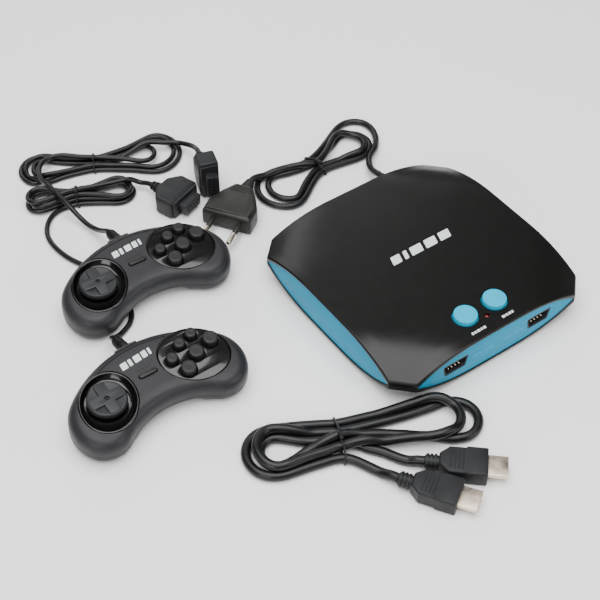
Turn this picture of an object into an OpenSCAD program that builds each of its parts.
// A small square games console with two wired controllers, its mains lead and its video lead,
// laid out on a table as one set. Millimetres, +Z up, the table is Z = 0.

/* [Console] */
// Length of each side of the console
console_side = 150; // [140:1:160]
// Leg of the chamfer that cuts each corner
corner_cut = 12; // [10:0.5:14]
// Height of the flat part of the top
console_top = 29; // [28:0.5:30]
// Height of the seam between the two shells
console_seam = 15.5; // [15:0.5:16]
// Half the height of the coloured side panels
lens_half = 12; // [11:0.5:12]
// Wall thickness of the console shells
console_wall = 2; // [1.8:0.1:2.4]

/* [Console buttons] */
// Radius of the two round buttons
button_r = 7.5; // [6:0.5:8]
// How far they stand above the top
button_proud = 2.8; // [2:0.2:4]
// How far they press in
button_travel = 2; // [1:0.2:2]

/* [Controllers] */
// Radius of the two grips, seen from above
grip_r = 17; // [16:0.5:18]
// Sideways distance from the middle to each grip's centre
grip_x = 39; // [37:0.5:41]
// Rearmost point of the outline
pad_rear = 29; // [28:0.5:30]
// Slope of the top face towards the player
pad_pitch = 8; // [6:0.5:9]
// How far the face buttons press in
key_travel = 1.6; // [1:0.1:1.6]

/* [Leads] */
// Diameter of the mains lead
mains_d = 4.6; // [4:0.1:5]
// Diameter of the controller leads
pad_lead_d = 3.6; // [3.2:0.1:4]
// Diameter of the video lead
video_d = 6; // [5:0.1:6.4]

/* [Hidden] */
KEYS = ["a", "b", "c", "x", "y", "z"];
PAD_STATIC = ["top_shell", "bottom_shell", "trim", "board", "cord_grip", "cord", "hank", "plug"];
PAD_MOVING = concat(["dpad_pivot", "dpad", "start_button"], [for (k = KEYS) str(k, "_button")]);
$fn = 48;
eps = 0.01;

// Places in the set's own frame
console_at = [84, -28];
pad_at = [[-61, 74], [-102.5, -9]];
pad_yaw = [-2.5, 0];

// Console
half = console_side / 2;
edge = half - corner_cut;               // half length of each straight side
console_base = 2 * console_seam - console_top;  // underside, the top mirrored about the seam
vault_flat = 66;                        // diagonal distance at which the top starts to bend down
vault_r = 54.5;                         // radius of that bend
vault_reach = (half + edge) / sqrt(2);  // diagonal distance of the chamfer
panel_t = 2;
panel_recess = 0.6;
lens_power = 3.4;                       // how square-shouldered the side panels are
button_x = 11.5;
button_y = -55.8;
button_gap = 0.8;                       // ring gap round each button
light_y = -62.5;
light_r = 1.5;
boss_xy = 52;
foot_at = [48, 38];
foot_r = 6;
foot_h = console_base + 1;              // the feet sit 1 mm deep in the shell
posts = [[-40, -60, 9], [40, -60, 9], [-40, -6, 9], [40, -6, 9], [-38, 64, 9], [-8, 64, 9],
         [4, 8, 8], [40, 8, 8], [4, 40, 8], [40, 40, 8]];  // under the boards
board_z = 9;
board_t = 1.6;
board_top = board_z + board_t;
port_x = 33;
port_w = 19.6;                          // opening of a nine-pin port, at its wide side
port_narrow = 16;
port_h = 9.4;
pin_pitch = 2.77;
row_pitch = 2.84;
video_x = -22;
gland_x = 38;
gland_z = 11;
gland_r = 4;
gland_len = 14;

// Controller outline: tangent arcs for the back, the shoulders, the grips and the front hollow
grip_y = -12.5;
pad_front = -17;                        // bottom of the hollow between the grips
shoulder_r = 25;
grip_end = -32;                         // angle at which grip and shoulder arcs meet
shoulder = [grip_x - (shoulder_r - grip_r) * cos(grip_end), grip_y - (shoulder_r - grip_r) * sin(grip_end)];
back_drop = shoulder.y - pad_rear;
back_r = (shoulder_r ^ 2 - shoulder.x ^ 2 - back_drop ^ 2) / (2 * (back_drop + shoulder_r));
back_y = pad_rear - back_r;
back_end = atan2(shoulder.y - back_y, shoulder.x);
hollow_rise = grip_y - pad_front;
hollow_r = (grip_x ^ 2 + hollow_rise ^ 2 - grip_r ^ 2) / (2 * (grip_r - hollow_rise));
hollow_y = pad_front - hollow_r;
hollow_end = atan2(grip_y - hollow_y, grip_x);

pad_top = 10.5;
grip_floor = 9.5;                       // depth of the grips under the seam, at their front
pad_z = grip_floor * cos(pad_pitch) - (grip_y - 12.5) * sin(pad_pitch);
slab_floor = 6;
dish_at = [-30.2, -2];                  // bowl round the direction disc
dish_r = 17.4;
dish_turn = 60;
plate_at = [28.9, 0.6];                 // plate round the face buttons
plate_r = 18.5;
plate_turn = -33;
oval = 3.4;                             // half the straight length of both ovals
plate_top = 9.8;
plate_t = 2.2;
dpad_at = [-30.2, 0];
dpad_r = 12;
pivot_z = 5;
key_at = [[20.5, -7.3], [30.2, 0], [42.2, 3.8], [15.6, 3.5], [24.7, 10.3], [34.2, 13]];
plate_posts = [[30, -12], [42, -7], [13.5, -5], [28, 17]];
key_r = [4.9, 4.9, 4.9, 3.8, 3.8, 3.8];
key_top = [14, 14, 14, 13.6, 13.6, 13.6];
start_at = [-1.1, 2.8];
start_half = 4.5;
start_r = 1.5;
pad_boss = [[-44, -22], [44, -22], [0, -10], [-12, 20.5], [12, 20.5]];
lead_x = -1;
lead_dip = 20;                          // the grip of the lead points down by this angle
grip_len = 12;

// Leads, routes by hand from end to end
pad_hank = [[[-61, 211], [10, 177], 15, 11], [[-77, 181], [-29, 160], 12, 9]];
pad_plug_at = [[30, 149, 14.6], [-9, 148, 7.1]];
pad_plug_turn = [-107, -70];
pad_plug_roll = [90, 0];
plug_z0 = 7;
lead_1_in = [[-60.3, 113.6, 16.3], [-60.2, 118, 15.2], [-60.8, 126, 11.6], [-62, 134, 8], [-63.5, 142, 6.8],
             [-65, 149, 8.4], [-66.6, 156, 11.2], [-67.8, 163, 13.4], [-68.6, 172, 13.8], [-69, 181, 13.6],
             [-69.4, 190, 12], [-69.4, 197, 9.4], [-69, 201.5, 8]];
lead_1_out = [[22.5, 181, 8.5], [27.5, 179, 8.2], [31.4, 174.6, 8.6], [33.4, 168.4, 10.4], [33.7, 161.5, 13],
              [32.3, 155.6, 14.4], [29.7, 148, 14.6]];
lead_2_in = [[-103.5, 30.7, 16.3], [-103.6, 35, 15], [-102.5, 39.5, 11.4], [-99, 43.3, 7], [-93.5, 46, 3.6],
             [-86.5, 49.2, 2.2], [-80.5, 54.5, 1.9], [-77.8, 62, 1.9], [-77, 72, 1.9], [-77, 83, 1.9],
             [-77.5, 94, 1.9], [-79.5, 104, 1.9], [-84, 114, 1.9], [-88, 124, 1.9], [-90, 134, 1.9],
             [-89.5, 145, 1.9], [-87, 154, 1.9], [-83, 162, 1.9], [-77.3, 171.4, 1.9]];
lead_2_out = [[-22, 160, 6], [-17, 158.8, 7.2], [-13.2, 156.2, 7.4], [-11, 152.4, 7.2], [-9.4, 149, 7.1],
              [-8.7, 147.2, 7.1]];
mains_in = [[122, 60, 11], [122.2, 66, 10.6], [123.6, 73, 9], [126.6, 80, 7.6], [131, 86.6, 7.2],
            [135, 89.5, 6.6]];
mains_out = [[47.4, 112, 6.9], [51.5, 113.2, 7.4], [56, 113.6, 7.6], [61, 112.6, 7.4]];
mains_hank_a = [70, 100];
mains_hank_b = [137, 108];
mains_hank_r = 22;
plug_at = [12, 88];                     // middle of the mains plug's front face
plug_turn = 34;                         // direction from the pins to the lead
plug_z = 6.9;
pin_half = 9.5;
pin_len = 19;
pin_r = 2;
pin_root = 2.6;                         // inside the plug
video_hank_a = [-67, -89.5];
video_hank_b = [29, -129];
video_hank_r = 15.5;
video_h = 13;
video_plug_at = [[-21.5, -141.5, 5.5], [-2, -140.5, 5.5]];
video_plug_turn = [-56, -42];
video_route = [[[-32.5, -117, 3.4], [-30, -122.8, 3.6], [-26, -131.5, 4.6], [-21.8, -141, 5.5]],
               [[-17, -123.5, 3.4], [-12.5, -128.5, 3.6], [-7.5, -134.5, 4.6], [-2.3, -140.2, 5.5]]];

// ---- shapes ----

function arc(c, r, from, to, n) = [
  for (k = [0:n]) let (t = from + (to - from) * k / n) c + r * [cos(t), sin(t)]];

function drop(s) = abs(s) < vault_flat ? 0 : vault_r - sqrt(vault_r ^ 2 - (abs(s) - vault_flat) ^ 2);

function pad_outline(i) = concat(
  arc([grip_x, grip_y], grip_r - i, hollow_end - 180, grip_end, 10),
  arc(shoulder, shoulder_r - i, grip_end, back_end, 8),
  arc([0, back_y], back_r - i, back_end, 180 - back_end, 16),
  arc([-shoulder.x, shoulder.y], shoulder_r - i, 180 - back_end, 180 - grip_end, 8),
  arc([-grip_x, grip_y], grip_r - i, 180 - grip_end, 360 - hollow_end, 10),
  arc([0, hollow_y], hollow_r + i, 180 - hollow_end, hollow_end, 12));

module oval2d(r, turn) {
  rotate(turn) {
    for (s = [-1, 1]) translate([s * oval, 0]) circle(r);
    square([2 * oval, 2 * r], center = true);
  }
}

module pill2d(l, r) {
  for (s = [-1, 1]) translate([s * l, 0]) circle(r);
  square([2 * l, 2 * r], center = true);
}

module d_shape(w, narrow, h) {
  polygon([[-w / 2, h / 2], [w / 2, h / 2], [narrow / 2, -h / 2], [-narrow / 2, -h / 2]]);
}

// A tube along a list of points, with its rings turned to follow the path
module tube(path, d, sides) {
  last = len(path) - 1;
  function way(k) = let (v = path[min(k + 1, last)] - path[max(k - 1, 0)]) v / norm(v);
  rings = [for (k = [0:last])
    let (w = way(k), u0 = cross([0, 0, 1], w), u = u0 / norm(u0), v = cross(w, u))
    for (j = [0:sides - 1]) path[k] + d / 2 * (cos(360 * j / sides) * u + sin(360 * j / sides) * v)];
  walls = [for (k = [0:last - 1]) for (j = [0:sides - 1])
    let (a = k * sides + j, b = k * sides + (j + 1) % sides)
    each [[a, a + sides, b], [b, a + sides, b + sides]]];
  ends = [[for (j = [0:sides - 1]) j], [for (j = [sides - 1:-1:0]) last * sides + j]];
  polyhedron(rings, concat(walls, ends));
}

// A straight hank: two round ends joined by its runs
module hank(a, b, r, h) {
  v = b - a;
  translate([a.x, a.y, 1]) rotate(atan2(v.y, v.x)) linear_extrude(h - 1) {
    circle(r);
    translate([norm(v), 0]) circle(r);
    translate([0, -r]) square([norm(v), 2 * r]);
  }
}

module tie(at, turn, w, h) {
  translate([at.x, at.y, 0]) rotate(turn) difference() {
    translate([-1.5, -w / 2 - 1, 0]) cube([3, w + 2, h + 1]);
    translate([-2, -w / 2, 1 - eps]) cube([4, w, h - 1 + eps]);
  }
}

module at_console() translate([console_at.x, console_at.y, 0]) children();

module at_pad(n) {
  at = pad_at[n - 1];
  translate([at.x, at.y, pad_z]) rotate(pad_yaw[n - 1]) rotate([pad_pitch, 0, 0]) children();
}

// ---- console shells ----

module console_outline(i) {
  a = half - i;
  b = edge - i * (sqrt(2) - 1);
  polygon([[-a, -b], [-b, -a], [b, -a], [a, -b], [a, b], [b, a], [-b, a], [-a, b]]);
}

// Half of the body above the seam; the top bends down along both diagonals
module vault(i) {
  reach = vault_reach;
  bend = [for (k = [0:10]) vault_flat + (reach - vault_flat) * k / 10];
  side = concat([for (k = [10:-1:0]) [-bend[k], console_top - i - drop(bend[k])]],
                [for (k = [0:10]) [bend[k], console_top - i - drop(bend[k])]]);
  profile = concat([[-reach, console_seam]], side, [[reach, console_seam]]);
  intersection() {
    translate([0, 0, console_seam]) linear_extrude(console_top) console_outline(i);
    rotate([90, 0, 45]) linear_extrude(4 * half, center = true) polygon(profile);
    rotate([90, 0, -45]) linear_extrude(4 * half, center = true) polygon(profile);
  }
}

module lens2d(gap) {
  n = 14;
  up = [for (k = [-n:n]) let (t = k / n)
    [t * (edge - gap), (lens_half - gap) * (1 - pow(abs(t), lens_power))]];
  polygon(concat([for (k = [0:2 * n]) up[k]], [for (k = [2 * n - 1:-1:1]) [up[k].x, -up[k].y]]));
}

// A lens-shaped plate standing in the -Y side
module lens_plate(gap, y0, y1) {
  translate([0, y1, console_seam]) rotate([90, 0, 0]) linear_extrude(y1 - y0) lens2d(gap);
}

module half_shell() {
  difference() {
    vault(0);
    difference() {
      vault(console_wall);
      for (x = [-boss_xy, boss_xy]) for (y = [-boss_xy, boss_xy])
        translate([x, y, 0]) cylinder(r = 3.4, h = 40);
    }
    for (k = [0:3]) rotate(90 * k) lens_plate(0, -half - 1, -half + panel_recess + panel_t + 0.5);
  }
}

module top_shell() {
  color("#161616") at_console() difference() {
    half_shell();
    for (x = [-button_x, button_x]) translate([x, button_y, 20]) cylinder(r = button_r + button_gap, h = 20);
    translate([0, light_y, 20]) cylinder(r = light_r + 0.2, h = 20);
    for (x = [-boss_xy, boss_xy]) for (y = [-boss_xy, boss_xy])
      translate([x, y, 0]) cylinder(r = 1.5, h = console_seam + 7);
  }
}

module bottom_shell() {
  color("#1b1b1b") at_console() difference() {
    union() {
      translate([0, 0, 2 * console_seam]) mirror([0, 0, 1]) half_shell();
      for (p = posts) translate([p.x, p.y, console_base + 1]) cylinder(r = 2.4, h = p.z - console_base - 1);
    }
    for (x = [-boss_xy, boss_xy]) for (y = [-boss_xy, boss_xy]) translate([x, y, 0]) {
      cylinder(r = 1.6, h = console_seam + 1);
      cylinder(r = 3, h = 6.5);
    }
    for (x = [-foot_at.x, foot_at.x]) for (y = [-foot_at.y, foot_at.y])
      translate([x, y, 0]) cylinder(r = foot_r + 0.1, h = foot_h);
  }
}

module panel() lens_plate(0.15, -half + panel_recess, -half + panel_recess + panel_t);

module front_panel() {
  color("#2f9fd0") at_console() difference() {
    panel();
    for (x = [-port_x, port_x]) translate([x, -half + 5, console_seam])
      rotate([90, 0, 0]) linear_extrude(10) d_shape(port_w, port_narrow, port_h);
  }
}

module rear_panel() {
  color("#2f9fd0") at_console() difference() {
    rotate(180) panel();
    translate([video_x, half, console_seam]) cube([15.8, 10, 6.8], center = true);
    translate([gland_x, half + 5, gland_z]) rotate([90, 0, 0]) cylinder(r = gland_r + 0.1, h = 10);
  }
}

module side_panels() {
  color("#2f9fd0") at_console() for (k = [1, 3]) rotate(90 * k) panel();
}

module rubber_feet() {
  color("#222222") at_console()
    for (x = [-foot_at.x, foot_at.x]) for (y = [-foot_at.y, foot_at.y])
      translate([x, y, 0]) cylinder(r = foot_r, h = foot_h);
}

module case_screws() {
  color("silver") at_console()
    for (x = [-boss_xy, boss_xy]) for (y = [-boss_xy, boss_xy]) translate([x, y, 0]) {
      translate([0, 0, 4.7]) cylinder(r = 2.7, h = 1.8);
      translate([0, 0, 6.5 - eps]) cylinder(r = 1.5, h = 15);
    }
}

// ---- inside the console ----

module main_board() {
  color("#1f6a3a") at_console() {
    translate([-44, -64, board_z]) cube([88, 62, board_t]);
    translate([-42, -3, board_z]) cube([38, 72, board_t]);
    translate([-34, -40, board_top]) cube([14, 14, 1.6]);
    translate([-6, -42, board_top]) cube([18, 12, 2]);
    for (x = [-36, -26, 26]) translate([x, -12, board_top]) cylinder(r = 3, h = 8);
  }
}

module power_board() {
  color("#8a6a3a") at_console() {
    translate([0, 4, board_z - 1]) cube([44, 40, board_t]);
    translate([6, 20, board_z - 1 + board_t]) cube([18, 16, 13]);
    translate([34, 14, board_z - 1 + board_t]) cylinder(r = 5, h = 14);
  }
}

module port_connectors() {
  color("#303030") at_console() for (x = [-port_x, port_x]) {
    translate([x, -half + 13, console_seam]) rotate([90, 0, 0]) difference() {
      linear_extrude(12.2) d_shape(port_w - 0.4, port_narrow - 0.4, port_h - 0.4);
      translate([0, 0, 2]) linear_extrude(20) d_shape(port_w - 2, port_narrow - 2, port_h - 2);
    }
    translate([x - 12, -half + 13, board_top]) cube([24, 6, 10]);
    translate([x, -half + 11 + eps, console_seam]) rotate([90, 0, 0]) {
      for (k = [-2:2]) translate([k * pin_pitch, row_pitch / 2, 0]) cylinder(r = 0.5, h = 5.5, $fn = 16);
      for (k = [-1.5:1.5]) translate([k * pin_pitch, -row_pitch / 2, 0]) cylinder(r = 0.5, h = 5.5, $fn = 16);
    }
  }
}

module video_socket() {
  color("silver") at_console() translate([video_x, half - 12.5, console_seam]) {
    rotate([-90, 0, 0]) difference() {
      translate([-7.6, -3.1, 0]) cube([15.2, 6.2, 12]);
      translate([-7, -2.5, 1]) cube([14, 5, 20]);
    }
    translate([-5.5, 1 - eps, 0.2]) cube([11, 8.5, 1.2]);
    translate([-7.6, 0, board_top - console_seam]) cube([15.2, 6, console_seam - 3 - board_top]);
  }
}

module push_switches() {
  color("#2a2a2a") at_console() for (x = [-button_x, button_x]) translate([x, button_y, board_top])
    difference() {
      translate([-4, -4, 0]) cube([8, 8, 5]);
      translate([0, 0, 1]) cylinder(r = 2.3, h = 10);
    }
}

module status_light() {
  color("#8c1515") at_console() translate([0, light_y, 0]) {
    translate([0, 0, board_top]) cylinder(r = 0.9, h = 12);
    translate([0, 0, board_top + 12 - eps]) cylinder(r = light_r, h = console_top - 0.7 - board_top - 12);
  }
}

module mains_gland() {
  color("#141414") at_console() translate([gland_x, half, gland_z]) rotate([-90, 0, 0]) {
    translate([0, 0, -5]) cylinder(r = 5, h = 2);
    translate([0, 0, -5]) cylinder(r = gland_r, h = 5);
    cylinder(r1 = gland_r + 0.4, r2 = mains_d / 2 + 0.5, h = gland_len);
  }
}

// Cap, collar under the top, stem and the plunger that runs in the switch
module console_button(x) {
  at_console() translate([x, button_y, 0]) {
    translate([0, 0, 26]) cylinder(r = button_r, h = console_top + button_proud - 26);
    translate([0, 0, 25.2]) cylinder(r = button_r + 2, h = 1.5);
    translate([0, 0, 18.2]) cylinder(r = 3, h = 8);
    translate([0, 0, 14.6]) cylinder(r = 1.9, h = 4);
  }
}

module power_button() color("#2fb7ea") console_button(-button_x);

module menu_button() color("#2fb7ea") console_button(button_x);

// ---- controllers ----

module slice(i, z0, z1) translate([0, 0, z0]) linear_extrude(z1 - z0) polygon(pad_outline(i));

module above_table(z) intersection() {
  children();
  translate([-300, -300, z]) cube([600, 600, 100]);
}

module pad_top_shell(n) {
  color("#3a3a3e") at_pad(n) difference() {
    union() {
      slice(0, 0, 4);
      slice(1.2, 3, 7.5);
      slice(3, 6, 9.5);
      slice(5.5, 8, pad_top);
    }
    difference() {
      union() {
        slice(2.5, -1, 6.5);
        slice(5, 5, 8.4);
      }
      for (p = pad_boss) translate([p.x, p.y, 0.9]) cylinder(r = 3, h = 10);
    }
    translate([dish_at.x, dish_at.y, 0.9]) linear_extrude(20) oval2d(dish_r + 0.15, dish_turn);
    translate([plate_at.x, plate_at.y, 0.9]) linear_extrude(20) oval2d(plate_r + 0.15, plate_turn);
    translate([start_at.x, start_at.y, 0]) linear_extrude(20) pill2d(start_half, start_r + 0.3);
    for (p = pad_boss) translate([p.x, p.y, 0]) cylinder(r = 1.25, h = 6);
    lead_hole();
  }
}

module lead_hole() translate([lead_x, pad_rear - 10, 1]) rotate([-90, 0, 0]) cylinder(r = 2.8, h = 20);

// Two pods under the grips reach the table, and the middle is held clear of it
module pods(n, r, z) {
  above_table(z) at_pad(n) for (s = [-1, 1]) translate([s * grip_x, grip_y, -24]) linear_extrude(20) {
    circle(r);
    translate([-s * 4, 18]) circle(r);
    polygon([[-r, 0], [r, 0], [-s * 4 + r, 18], [-s * 4 - r, 18]]);
  }
}

module pad_bottom_shell(n) {
  color("#303034") difference() {
    union() {
      at_pad(n) {
        slice(0, -3, 0);
        slice(1.5, -5, -2);
        slice(3.5, -slab_floor, -4);
      }
      pods(n, 14, 1.5);
      pods(n, 12.5, 0);
    }
    at_pad(n) lead_hole();
    at_pad(n) difference() {
      slice(2.5, -4, 1);
      for (p = pad_boss) translate([p.x, p.y, -5]) cylinder(r = 3, h = 4.1);
    }
    difference() {
      pods(n, 10.5, 2.2);
      at_pad(n) for (p = pad_boss) translate([p.x, p.y, -30]) cylinder(r = 3.6, h = 40);
    }
    at_pad(n) for (p = pad_boss) translate([p.x, p.y, 0]) {
      translate([0, 0, -30]) cylinder(r = 1.4, h = 40);
      translate([0, 0, -30]) cylinder(r = 2.6, h = 30 - slab_floor + 1.2);
    }
  }
}

// Bowl round the disc, plate round the face buttons, and the insert behind the lead
module pad_trim(n) {
  color("#0c0c0c") at_pad(n) {
    difference() {
      translate([dish_at.x, dish_at.y, 0.8]) linear_extrude(9.4) oval2d(dish_r, dish_turn);
      translate([dish_at.x, dish_at.y, 6.4]) linear_extrude(20) oval2d(dish_r - 2, dish_turn);
      translate([dish_at.x, dish_at.y, 0]) linear_extrude(4.4) oval2d(dish_r - 1.5, dish_turn);
      translate([dpad_at.x, dpad_at.y, 0]) cylinder(r = dpad_r + 1.6, h = 20);
    }
    for (p = plate_posts) translate([p.x, p.y, 0.8]) cylinder(r = 1.2, h = plate_top - 1.8);
    difference() {
      translate([plate_at.x, plate_at.y, plate_top - plate_t])
        linear_extrude(plate_t) oval2d(plate_r, plate_turn);
      for (k = [0:5]) translate([key_at[k].x, key_at[k].y, 0]) cylinder(r = key_r[k] + 0.45, h = 20);
    }
    intersection() {
      difference() {
        slice(-0.6, -3, 6.5);
        slice(-0.1, -4, 8);
      }
      difference() {
        translate([-9, 0, -10]) cube([17, 60, 30]);
        translate([lead_x, pad_rear - 3, 1]) rotate([-90, 0, 0]) cylinder(r = 4.2, h = 9);
      }
    }
  }
}

// Contact board, key mats and the two ears that carry the disc's pivot
module pad_board(n) {
  color("#2c6b3f") at_pad(n) {
    difference() {
      slice(6, -0.8, 0.8);
      for (p = pad_boss) translate([p.x, p.y, -5]) cylinder(r = 1.6, h = 10);
      translate([lead_x - 5, pad_rear - 9, -5]) cube([10, 20, 10]);
    }
    for (k = [0:5]) translate([key_at[k].x, key_at[k].y, 0.8 - eps]) cylinder(r = 3, h = 0.6);
    translate([start_at.x, start_at.y, 0.8 - eps]) cylinder(r = 2, h = 0.6);
    for (s = [-1, 1]) translate([dpad_at.x + s * 7, dpad_at.y, 0]) difference() {
      translate([-1, -3, 0.8 - eps]) cube([2, 6, 6.7]);
      translate([-2, 0, pivot_z]) rotate([0, 90, 0]) cylinder(r = 1.3, h = 4);
    }
  }
}

// Cross of two pins: one turns in the board's ears, the other carries the disc
module pad_dpad_pivot(n) {
  color("silver") at_pad(n) translate([dpad_at.x, dpad_at.y, pivot_z]) {
    rotate([0, 90, 0]) cylinder(r = 1.25, h = 16, center = true);
    rotate([90, 0, 0]) cylinder(r = 1, h = 8.4, center = true);
  }
}

module pad_dpad(n) {
  color("#35353a") at_pad(n) translate([dpad_at.x, dpad_at.y, 0]) difference() {
    union() {
      translate([0, 0, 9.6]) cylinder(r = dpad_r, h = 2.9);
      translate([0, 0, 12.5 - eps]) cylinder(r1 = dpad_r, r2 = dpad_r - 1.4, h = 1.2);
      translate([0, 0, 2.6]) cylinder(r = 4.5, h = 8);
    }
    translate([-6, -1.8, pivot_z - 2.2]) cube([12, 3.6, 4.4]);
    translate([0, 0, pivot_z]) rotate([90, 0, 0]) cylinder(r = 1.05, h = 12, center = true);
    translate([0, 0, 13.1]) cylinder(r = 1.2, h = 2);
  }
}

module pad_key(n, k) {
  color("#2e2e33") at_pad(n) translate([key_at[k].x, key_at[k].y, 0]) {
    translate([0, 0, 3.4]) cylinder(r = key_r[k], h = key_top[k] - 3.4);
    translate([0, 0, 6]) cylinder(r = key_r[k] + 0.8, h = 1.3);
  }
}

module pad_start_button(n) {
  color("#2e2e33") at_pad(n) translate([start_at.x, start_at.y, 0]) {
    translate([0, 0, 3.4]) linear_extrude(8.2) pill2d(start_half, start_r);
    translate([0, 0, 6.6]) linear_extrude(1.4) pill2d(start_half, start_r + 0.9);
  }
}

module pad_screws() {
  color("silver") for (n = [1, 2]) at_pad(n) for (p = pad_boss) translate([p.x, p.y, 0]) {
    translate([0, 0, -slab_floor + 1.2 - 1.6]) cylinder(r = 2.4, h = 1.6);
    translate([0, 0, -slab_floor + 1.2 - eps]) cylinder(r = 1.2, h = 10);
  }
}

// Ribbed strain relief at the back of a controller
module pad_cord_grip(n) {
  color("#141414") at_pad(n) translate([lead_x, pad_rear + 0.7, 1]) {
    rotate([-90, 0, 0]) cylinder(r = 3.9, h = 2);
    translate([0, -6, 0]) rotate([-90, 0, 0]) cylinder(r = 2.7, h = 7);
    translate([0, -6, 0]) rotate([-90, 0, 0]) cylinder(r = 3.7, h = 1.5);
    translate([0, 1.6, 0]) rotate([-90 - lead_dip, 0, 0])
      cylinder(r1 = 3.6, r2 = pad_lead_d / 2 + 0.5, h = grip_len - 2);
  }
}

module pad_cord(n) {
  routes = n == 1 ? [lead_1_in, lead_1_out] : [lead_2_in, lead_2_out];
  color("#1a1a1a") for (path = routes) tube(path, pad_lead_d, 8);
}

module pad_hank_solid(n) {
  h = pad_hank[n - 1];
  color("#1a1a1a") hank(h[0], h[1], h[2], h[3]);
}

// Nine-way plug: moulded body, tapered neck and a D-shaped nose with its holes
module pad_plug(n) {
  color("#202024") translate(pad_plug_at[n - 1]) rotate(pad_plug_turn[n - 1])
    rotate([pad_plug_roll[n - 1], 0, 0]) {
      rotate([0, 90, 0]) cylinder(r1 = 2.6, r2 = 4.4, h = 8);
      translate([8 - eps, 0, -plug_z0]) linear_extrude(2 * plug_z0)
        polygon([[0, -7], [6, -14.5], [21, -14.5], [21, 14.5], [6, 14.5], [0, 7]]);
      translate([29 - 2 * eps, 0, 0]) rotate([90, 0, 90]) difference() {
        linear_extrude(6.5) d_shape(17.4, 14.6, 8);
        for (k = [-2:2]) translate([k * pin_pitch, row_pitch / 2, 1]) cylinder(r = 0.65, h = 10, $fn = 16);
        for (k = [-1.5:1.5])
          translate([k * pin_pitch, -row_pitch / 2, 1]) cylinder(r = 0.65, h = 10, $fn = 16);
      }
    }
}

// ---- mains lead ----

module mains_cord() color("#141414") for (path = [mains_in, mains_out]) tube(path, mains_d, 10);

module mains_hank() {
  a = mains_hank_a;
  v = mains_hank_b - a;
  color("#141414") translate([a.x, a.y, 1]) rotate(atan2(v.y, v.x)) linear_extrude(11) {
    circle(mains_hank_r);
    translate([norm(v), 0]) circle(mains_hank_r);
    translate([0, -12.5]) square([norm(v), 25]);
  }
}

module at_mains_plug() translate([plug_at.x, plug_at.y, plug_z]) rotate(plug_turn) children();

// Flat two-pin plug, narrow towards the lead
module mains_plug() {
  color("#191919") at_mains_plug() {
    difference() {
      translate([0, 0, -6.85]) linear_extrude(13.7)
        polygon([[0, -17.6], [13, -17.6], [24, -12], [33, -6], [33, 6], [24, 12], [13, 17.6], [0, 17.6]]);
      for (s = [-1, 1]) translate([-1, s * pin_half, 0])
        rotate([0, 90, 0]) cylinder(r = pin_root + 0.05, h = 11);
    }
    translate([33 - eps, 0, 0]) rotate([0, 90, 0]) cylinder(r1 = 5, r2 = mains_d / 2 + 0.4, h = 11);
  }
}

module mains_pins() {
  color("silver") at_mains_plug() for (s = [-1, 1]) translate([0, s * pin_half, 0]) rotate([0, 90, 0]) {
    translate([0, 0, -pin_len]) cylinder(r = pin_r, h = pin_len + eps);
    cylinder(r = pin_root, h = 9);
  }
}

// ---- video lead ----

module video_cord() color("#1a1a1a") for (path = video_route) tube(path, video_d, 10);

module video_hank() color("#1a1a1a") hank(video_hank_a, video_hank_b, video_hank_r, video_h);

// Moulded body with a tapered neck and a flat metal shell
module video_plug(k) {
  color("#1f1f1f") translate(video_plug_at[k]) rotate(video_plug_turn[k]) {
    rotate([0, 90, 0]) cylinder(r1 = video_d / 2 + 0.4, r2 = 4.8, h = 8);
    translate([8 - eps, 0, -5.4]) linear_extrude(10.8)
      polygon([[0, -5.5], [5, -9.8], [27, -9.8], [27, 9.8], [5, 9.8], [0, 5.5]]);
    translate([35 - 2 * eps, 0, 0]) rotate([90, 0, 90]) difference() {
      linear_extrude(11.5)
        polygon([[-6.95, 2.2], [6.95, 2.2], [6.95, -0.6], [5.2, -2.3], [-5.2, -2.3], [-6.95, -0.6]]);
      translate([0, 0, 3]) linear_extrude(11.5)
        polygon([[-6.4, 1.7], [6.4, 1.7], [6.4, -0.5], [5, -1.8], [-5, -1.8], [-6.4, -0.5]]);
    }
  }
}

module video_plug_1() video_plug(0);

module video_plug_2() video_plug(1);

module cable_ties() {
  color("#101010") {
    for (h = pad_hank) {
      v = h[1] - h[0];
      tie(h[0] + 0.45 * v, atan2(v.y, v.x), 2 * h[2], h[3]);
    }
    v = video_hank_b - video_hank_a;
    tie(video_hank_a + 0.36 * v, atan2(v.y, v.x), 2 * video_hank_r, video_h);
    w = mains_hank_b - mains_hank_a;
    tie(mains_hank_a + 0.4 * w, atan2(w.y, w.x), 25, 12);
  }
}

// ---- the set ----

top_shell();
bottom_shell();
front_panel();
rear_panel();
side_panels();
rubber_feet();
case_screws();
main_board();
power_board();
port_connectors();
video_socket();
push_switches();
status_light();
mains_gland();
power_button();
menu_button();
mains_cord();
mains_hank();
mains_plug();
mains_pins();
video_cord();
video_hank();
video_plug_1();
video_plug_2();
cable_ties();
pad_screws();
for (n = [1, 2]) {
  pad_top_shell(n);
  pad_bottom_shell(n);
  pad_trim(n);
  pad_board(n);
  pad_cord_grip(n);
  pad_cord(n);
  pad_hank_solid(n);
  pad_plug(n);
  pad_dpad_pivot(n);
  pad_dpad(n);
  pad_start_button(n);
  for (k = [0:5]) pad_key(n, k);
}
